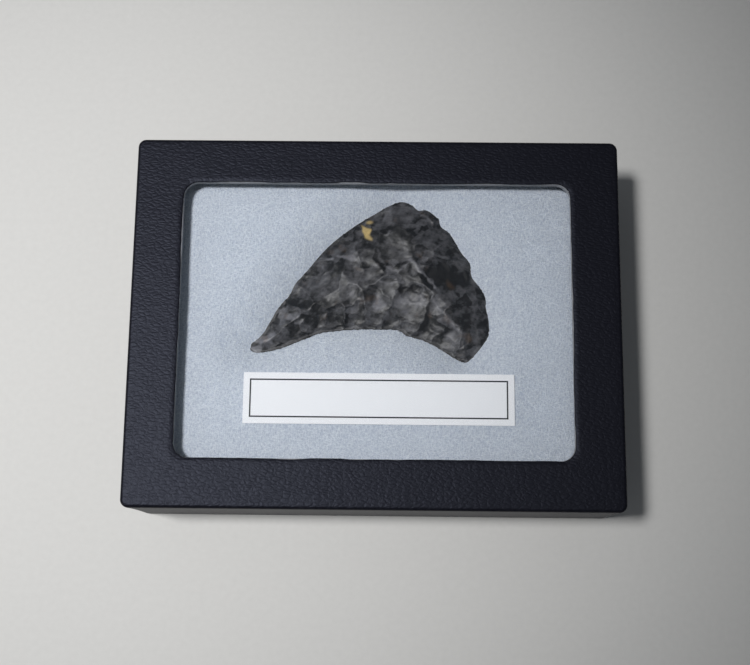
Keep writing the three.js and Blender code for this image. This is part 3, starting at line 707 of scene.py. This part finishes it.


# Flint: the tone kept in the mesh, with its painted highlights and shade, mottled at three scales, with
# brown clouds and the tan places.
def flintMaterial():
    material, surface, place = newMaterial("flint", {"Specular IOR Level": knifeLook["gloss"]})
    toneWithPaintedLight, tan = (place.node("Attribute", {"attribute_name": name}, {}, 2) for name in ("toneWithPaintedLight", "tan"))
    cloud = place.noise(170, 5, 0.6)
    speck = place.noise(1700, 3)
    streak = place.mapped((1, 2.2, 1), -0.7).noise(620, 9, 0.72)
    mottle = (cloud - 0.5) * 0.9 + (speck - 0.5) * 0.3 + (streak - 0.5) * 1.1
    share = (toneWithPaintedLight + mottle * 0.6 - 0.35).clamped()
    stone = share.mix(fromScreen(knifeLook["dark"]), fromScreen(knifeLook["light"]))
    brown = place.noise(260, 2).above(0.62, 0.74) * 0.35
    stone = brown.mix(stone, fromScreen(knifeLook["brown"]))
    stone = (tan * (0.6 + speck * 0.6)).clamped().mix(stone, fromScreen(knifeLook["tan"]))
    link(surface, "Base Color", stone)
    link(surface, "Roughness", knifeLook["rough"] + speck * 0.14 + tan * 0.3)
    link(surface, "Normal", place.noise(3800, 3).bump(0.3, 0.00004))
    return material


knappedKnife = makeKnife()
paint(knappedKnife, flintMaterial())
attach(knappedKnife, "knife")
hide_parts("crescent_knife")
print("knife made")


# Batting

padLook = {
    "cellsX": 250,
    "cellsY": 186,
    "corner": 5,  # radius of the upright corners
    "top": 20.8,  # height of the middle
    "crown": 1.8,  # how far the top falls towards a side, over the width of roll
    "roll": 6,
    "inset": (0.976, 0.968),  # the top's size as a share of the cushion's
    "rise": 11,  # width of the slope that rises from the knife
    "gap": 0.12,  # below the knife's edge
    "bed": 21.1,  # height under the label, and the slope round it
    "bedRoom": 0.3,
    "bedSlope": 5,
    "creases": ((0.0, 0.2), (1.1, 0.5), (0.3, 0.85), (1.2, 1.0)),  # down the side: drawn in, share down
    "shade": (186, 197, 216),
    "light": (240, 247, 255),
}
labelBox = {
    "x": 0.9,
    "y": -16.9,
    "length": 59.5,
    "width": 11.3,
    "border": 1.55,  # from the card's edge to the ruled line's middle
    "line": (0.13, 0.19),  # half the line's width, and where it has faded out
    "card": (236, 238, 243),
    "fleck": (246, 247, 250),
    "ink": (30, 31, 38),
}


# Height: a crowned top a little under the glass, sunk round the knife and raised under the label.
def padHeight(x, y):
    toSide = np.minimum(padHalf[0] - np.abs(x), padHalf[1] - np.abs(y))
    fromX = np.maximum(np.abs(x - labelBox["x"]) - labelBox["length"] / 2, 0)
    fromY = np.maximum(np.abs(y - labelBox["y"]) - labelBox["width"] / 2, 0)
    underLabel = 1 - smoothstep(np.hypot(fromX, fromY), padLook["bedRoom"], padLook["bedSlope"])
    level = padLook["top"] + (padLook["bed"] - padLook["top"]) * underLabel
    crown = level - padLook["crown"] * (1 - np.clip(toSide / padLook["roll"], 0, 1)) ** 2
    within = distanceInside(x - knifeAt[0], y - knifeAt[1])
    swell = np.clip(-within / padLook["rise"], 0, 1)
    low = edgeLevel - padLook["gap"]
    beside = (crown - low) * (1 - (1 - swell) ** 2)
    sunk = low + np.where(within > 0, -bellyDrop * fullness(within), beside)
    return np.where(within > 0, sunk, np.minimum(crown, sunk))


# A cushion: a grid over the top, whose corner cells are pushed onto quarter circles, then rings down
# the sides from its rim, and a fan over the bottom.
def makeBatting():
    cellsX, cellsY, corner = padLook["cellsX"], padLook["cellsY"], padLook["corner"]
    x, y = np.meshgrid(np.linspace(-1, 1, cellsX) * padHalf[0], np.linspace(-1, 1, cellsY) * padHalf[1])
    overX = np.maximum(np.abs(x) - padHalf[0] + corner, 0)
    overY = np.maximum(np.abs(y) - padHalf[1] + corner, 0)
    both = (overX > 0) & (overY > 0)
    share = np.where(both, np.maximum(overX, overY) / np.maximum(np.hypot(overX, overY), 1e-9), 1)
    x = np.sign(x) * np.where(both, padHalf[0] - corner + overX * share, np.abs(x))
    y = np.sign(y) * np.where(both, padHalf[1] - corner + overY * share, np.abs(y))
    z = padHeight(x, y)
    insetX, insetY = padLook["inset"]
    points = [np.stack([x * insetX, y * insetY, z], -1).reshape(-1, 3)]
    index = np.arange(cellsX * cellsY).reshape(cellsY, cellsX)
    rim = np.concatenate([index[0, :-1], index[:-1, -1], index[-1, :0:-1], index[:0:-1, 0]])
    flat = np.stack([x, y], -1).reshape(-1, 2)[rim]
    heights = z.ravel()[rim]
    rings = [rim]
    total = cellsX * cellsY
    for drawn, down in padLook["creases"]:
        around = flat * (1 - drawn / np.array(padHalf))
        points.append(np.column_stack([around, heights + (padFloor - heights) * down]))
        rings.append(total + np.arange(len(rim)))
        total += len(rim)
    points.append(np.array([[0, 0, padFloor]]))
    faces = gridFaces(cellsY, cellsX).tolist()
    for above, below in zip(rings, rings[1:]):
        faces += np.stack([above, below, np.roll(below, -1), np.roll(above, -1)], -1).tolist()
    faces += np.stack([np.roll(rings[-1], -1), rings[-1], np.full(len(rim), total)], -1).tolist()
    return meshPiece("batting_cushion", np.concatenate(points), faces)


# Matted fibres: two noises drawn out across each other, and a soft swell under them.
def battingMaterial():
    constants = {"Roughness": 0.95, "Specular IOR Level": 0.15, "Sheen Weight": 0.25, "Sheen Roughness": 0.6}
    material, surface, place = newMaterial("batting", constants)
    fibres = place.mapped((1, 2.6, 1), 0.6).noise(1500, 6, 0.7)
    crossed = place.mapped((2.6, 1, 1), -0.9).noise(1250, 6, 0.7)
    height = fibres + crossed + place.noise(260, 4) * 0.5
    link(surface, "Normal", height.bump(0.9, 0.0004))
    shade = (fibres * 0.5 + crossed * 0.5).above(0.4, 0.62)
    link(surface, "Base Color", shade.mix(fromScreen(padLook["shade"]), fromScreen(padLook["light"])))
    return material


battingCushion = makeBatting()
paint(battingCushion, battingMaterial())
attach(battingCushion, "filling")
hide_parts("batting_pad")
print("batting made")


# Loose fibres on the batting

fibreLook = {
    "count": 1500,
    "points": 7,  # along each
    "sides": 3,
    "thickness": 0.035,
    "shortest": 1.5,
    "longest": 6,
    "bend": 0.9,
    "lift": 0.05,  # of the middle
    "sunk": 0.02,  # into the batting
    "spanX": (-44, 44),
    "spanY": (-31, 32),
    "clearLabel": (31.5, 7.6),  # from its middle, along and across
    "colour": (236, 242, 250),
}


# Each fibre is a fine tube that tapers to its ends and follows an arc of its own over the batting.
def makeFibres():
    count, steps, sides = fibreLook["count"], fibreLook["points"], fibreLook["sides"]
    startX = chance.uniform(*fibreLook["spanX"], (count, 1))
    startY = chance.uniform(*fibreLook["spanY"], (count, 1))
    heading = chance.uniform(0, 2 * np.pi, (count, 1))
    length = chance.uniform(fibreLook["shortest"], fibreLook["longest"], (count, 1))
    bend = chance.normal(0, fibreLook["bend"], (count, 1))
    share = np.linspace(-0.5, 0.5, steps)[None]
    angle = heading + bend * share * 2
    x = startX + length * share * np.cos(angle)
    y = startY + length * share * np.sin(angle)
    offKnife = distanceInside(x - knifeAt[0], y - knifeAt[1]).max(1) < -0.3
    clearX, clearY = fibreLook["clearLabel"]
    toLabel = np.maximum(np.abs(x - labelBox["x"]) / clearX, np.abs(y - labelBox["y"]) / clearY)
    chosen = offKnife & (toLabel.min(1) > 1)
    x, y, angle = x[chosen], y[chosen], angle[chosen]
    z = padHeight(x, y) + fibreLook["lift"] * np.cos(np.pi * share) - fibreLook["sunk"]
    around = np.arange(sides) * 2 * np.pi / sides
    radius = fibreLook["thickness"] * (1 - (2 * share) ** 4 * 0.8)
    side = radius[..., None] * np.cos(around)
    rise = radius[..., None] * np.sin(around)
    tubes = [
        x[..., None] - np.sin(angle)[..., None] * side,
        y[..., None] + np.cos(angle)[..., None] * side,
        z[..., None] + rise,
    ]
    starts = np.arange(len(x))[:, None] * steps * sides
    walls = gridFaces(steps, sides, closeColumns=True)
    faces = (starts[..., None] + walls).reshape(-1, 4).tolist()
    faces += (starts + np.arange(sides)[::-1]).tolist()
    faces += (starts + (steps - 1) * sides + np.arange(sides)).tolist()
    return meshPiece("batting_fibres", np.stack(tubes, -1).reshape(-1, 3), faces, smooth=False)


fibreMaterial, _, _ = newMaterial(
    "fibre", {"Base Color": fromScreen(fibreLook["colour"]), "Roughness": 0.6, "Specular IOR Level": 0.4}
)
battingFibres = makeFibres()
paint(battingFibres, fibreMaterial)
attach(battingFibres, "filling")
print("fibres made")


# Label, board, papers and glass: materials on the CAD nodes


# White card with one ruled line, which runs round it at the same distance from its nearest edge.
def labelMaterial():
    material, surface, place = newMaterial("label_card", {"Roughness": 0.75, "Specular IOR Level": 0.3})
    x, y = (place.node("SeparateXYZ", {}, {0: place}, output) for output in (0, 1))
    inX = labelBox["length"] / 2 * millimetre - (x - labelBox["x"] * millimetre).absolute()
    inY = labelBox["width"] / 2 * millimetre - (y - labelBox["y"] * millimetre).absolute()
    fromLine = (inX.least(inY) - labelBox["border"] * millimetre).absolute()
    line = 1 - fromLine.above(*(width * millimetre for width in labelBox["line"]))
    card = place.noise(2500, 2).mix(fromScreen(labelBox["card"]), fromScreen(labelBox["fleck"]))
    link(surface, "Base Color", line.mix(card, fromScreen(labelBox["ink"])))
    return material


# Paper or board of one colour, flecked darker and lighter by a share of it.
def plainMaterial(name, colour, roughness, speckle=0.12):
    material, surface, place = newMaterial(name, {"Roughness": roughness, "Specular IOR Level": 0.3})
    fleck = place.noise(900, 5)
    darker = tuple(c * (1 - speckle) for c in fromScreen(colour)[:3]) + (1,)
    lighter = tuple(min(c * (1 + speckle), 1) for c in fromScreen(colour)[:3]) + (1,)
    link(surface, "Base Color", fleck.mix(darker, lighter))
    link(surface, "Normal", fleck.bump(0.3, 0.0001))
    return material


# Clear glass as a thin mirror, which shows only where it is seen at a slant.
def glassMaterial():
    constants = {"Base Color": fromScreen((244, 249, 249)), "Metallic": 1, "Roughness": 0.02}
    material, surface, place = newMaterial("clear_glass", constants)
    sheen = place.node("Fresnel", {}, {"IOR": 1.45})
    link(surface, "Alpha", (0.012 + sheen * 0.5).clamped())
    return material


papers = {
    "tray_board": plainMaterial("tray_grey_board", (150, 146, 138), 0.9),
    "lid_board": plainMaterial("lid_grey_board", (158, 160, 166), 0.9, speckle=0.2),
    "tray_wrap": plainMaterial("black_paper", (38, 38, 42), 0.75),
    "glass_pane": glassMaterial(),
    "label_card": labelMaterial(),
}
kraft = plainMaterial("kraft_paper", (170, 140, 100), 0.85)
tape = plainMaterial("white_tape", (222, 220, 212), 0.8)
for name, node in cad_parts.items():
    if name in papers:
        paint(node, papers[name])
    elif "_stay_" in name:
        paint(node, kraft)
    elif name.startswith("glass_tape"):
        paint(node, tape)
print("materials set")


# Floor, light and camera: not part of the object

stageLook = {
    "key": 38,  # watts, radius in metres and cone in degrees of the spot lamp
    "radius": 0.08,
    "cone": 25.5,
    "fill": 0.05,
    "sky": 0.1,
    "skyColour": (0.86, 0.92, 1.0, 1),
    "table": (214, 213, 210),
    "tableFleck": (222, 221, 218),
}
cameraLook = {
    "lens": 57.93,
    "place": (0.002777, -0.055276, 0.283463),
    "turn": (11.4855, 0.4911, 0.6535),
}


def makeFloor():
    bpy.ops.mesh.primitive_plane_add(size=3, location=(0, 0, 0))
    floor = bpy.context.object
    floor.name = "floor"
    constants = {"Roughness": 0.85, "Specular IOR Level": 0.2, "Specular Tint": lidWrap["tint"]}
    material, surface, place = newMaterial("floor_paper", constants)
    colours = fromScreen(stageLook["table"]), fromScreen(stageLook["tableFleck"])
    link(surface, "Base Color", place.noise(700, 4).mix(*colours))
    paint(floor, material)


# A lamp of any kind at a place, turned to a target.
def addLamp(name, kind, place, target, watts, settings):
    data = bpy.data.lights.new(name, kind)
    data.energy = watts
    for key, value in settings.items():
        setattr(data, key, value)
    lamp = bpy.data.objects.new(name, data)
    lamp.location = place
    lamp.rotation_euler = (Vector(target) - Vector(place)).to_track_quat("-Z", "Y").to_euler()
    bpy.context.scene.collection.objects.link(lamp)


def lightStage():
    spot = {
        "shadow_soft_size": stageLook["radius"],
        "spot_size": math.radians(stageLook["cone"]),
        "spot_blend": 1,
    }
    addLamp("key", "SPOT", (-0.34, -0.02, 0.97), (-0.085, 0.005, 0), stageLook["key"], spot)
    panel = {"shape": "RECTANGLE", "size": 0.5, "size_y": 0.4}
    addLamp("fill", "AREA", (-0.35, -0.2, 0.5), (-0.1, 0, 0), stageLook["fill"], panel)
    world = bpy.data.worlds.new("studio")
    bpy.context.scene.world = world
    world.use_nodes = True
    background = world.node_tree.nodes["Background"].inputs
    background["Color"].default_value = stageLook["skyColour"]
    background["Strength"].default_value = stageLook["sky"]


def placeCamera():
    data = bpy.data.cameras.new("camera")
    data.sensor_width = 36
    data.lens = cameraLook["lens"]
    data.clip_start = 0.01
    camera = bpy.data.objects.new("camera", data)
    camera.location = cameraLook["place"]
    camera.rotation_euler = tuple(math.radians(angle) for angle in cameraLook["turn"])
    bpy.context.scene.collection.objects.link(camera)
    bpy.context.scene.camera = camera


makeFloor()
lightStage()
placeCamera()
bpy.context.scene.view_settings.view_transform = "Standard"
print("stage set")
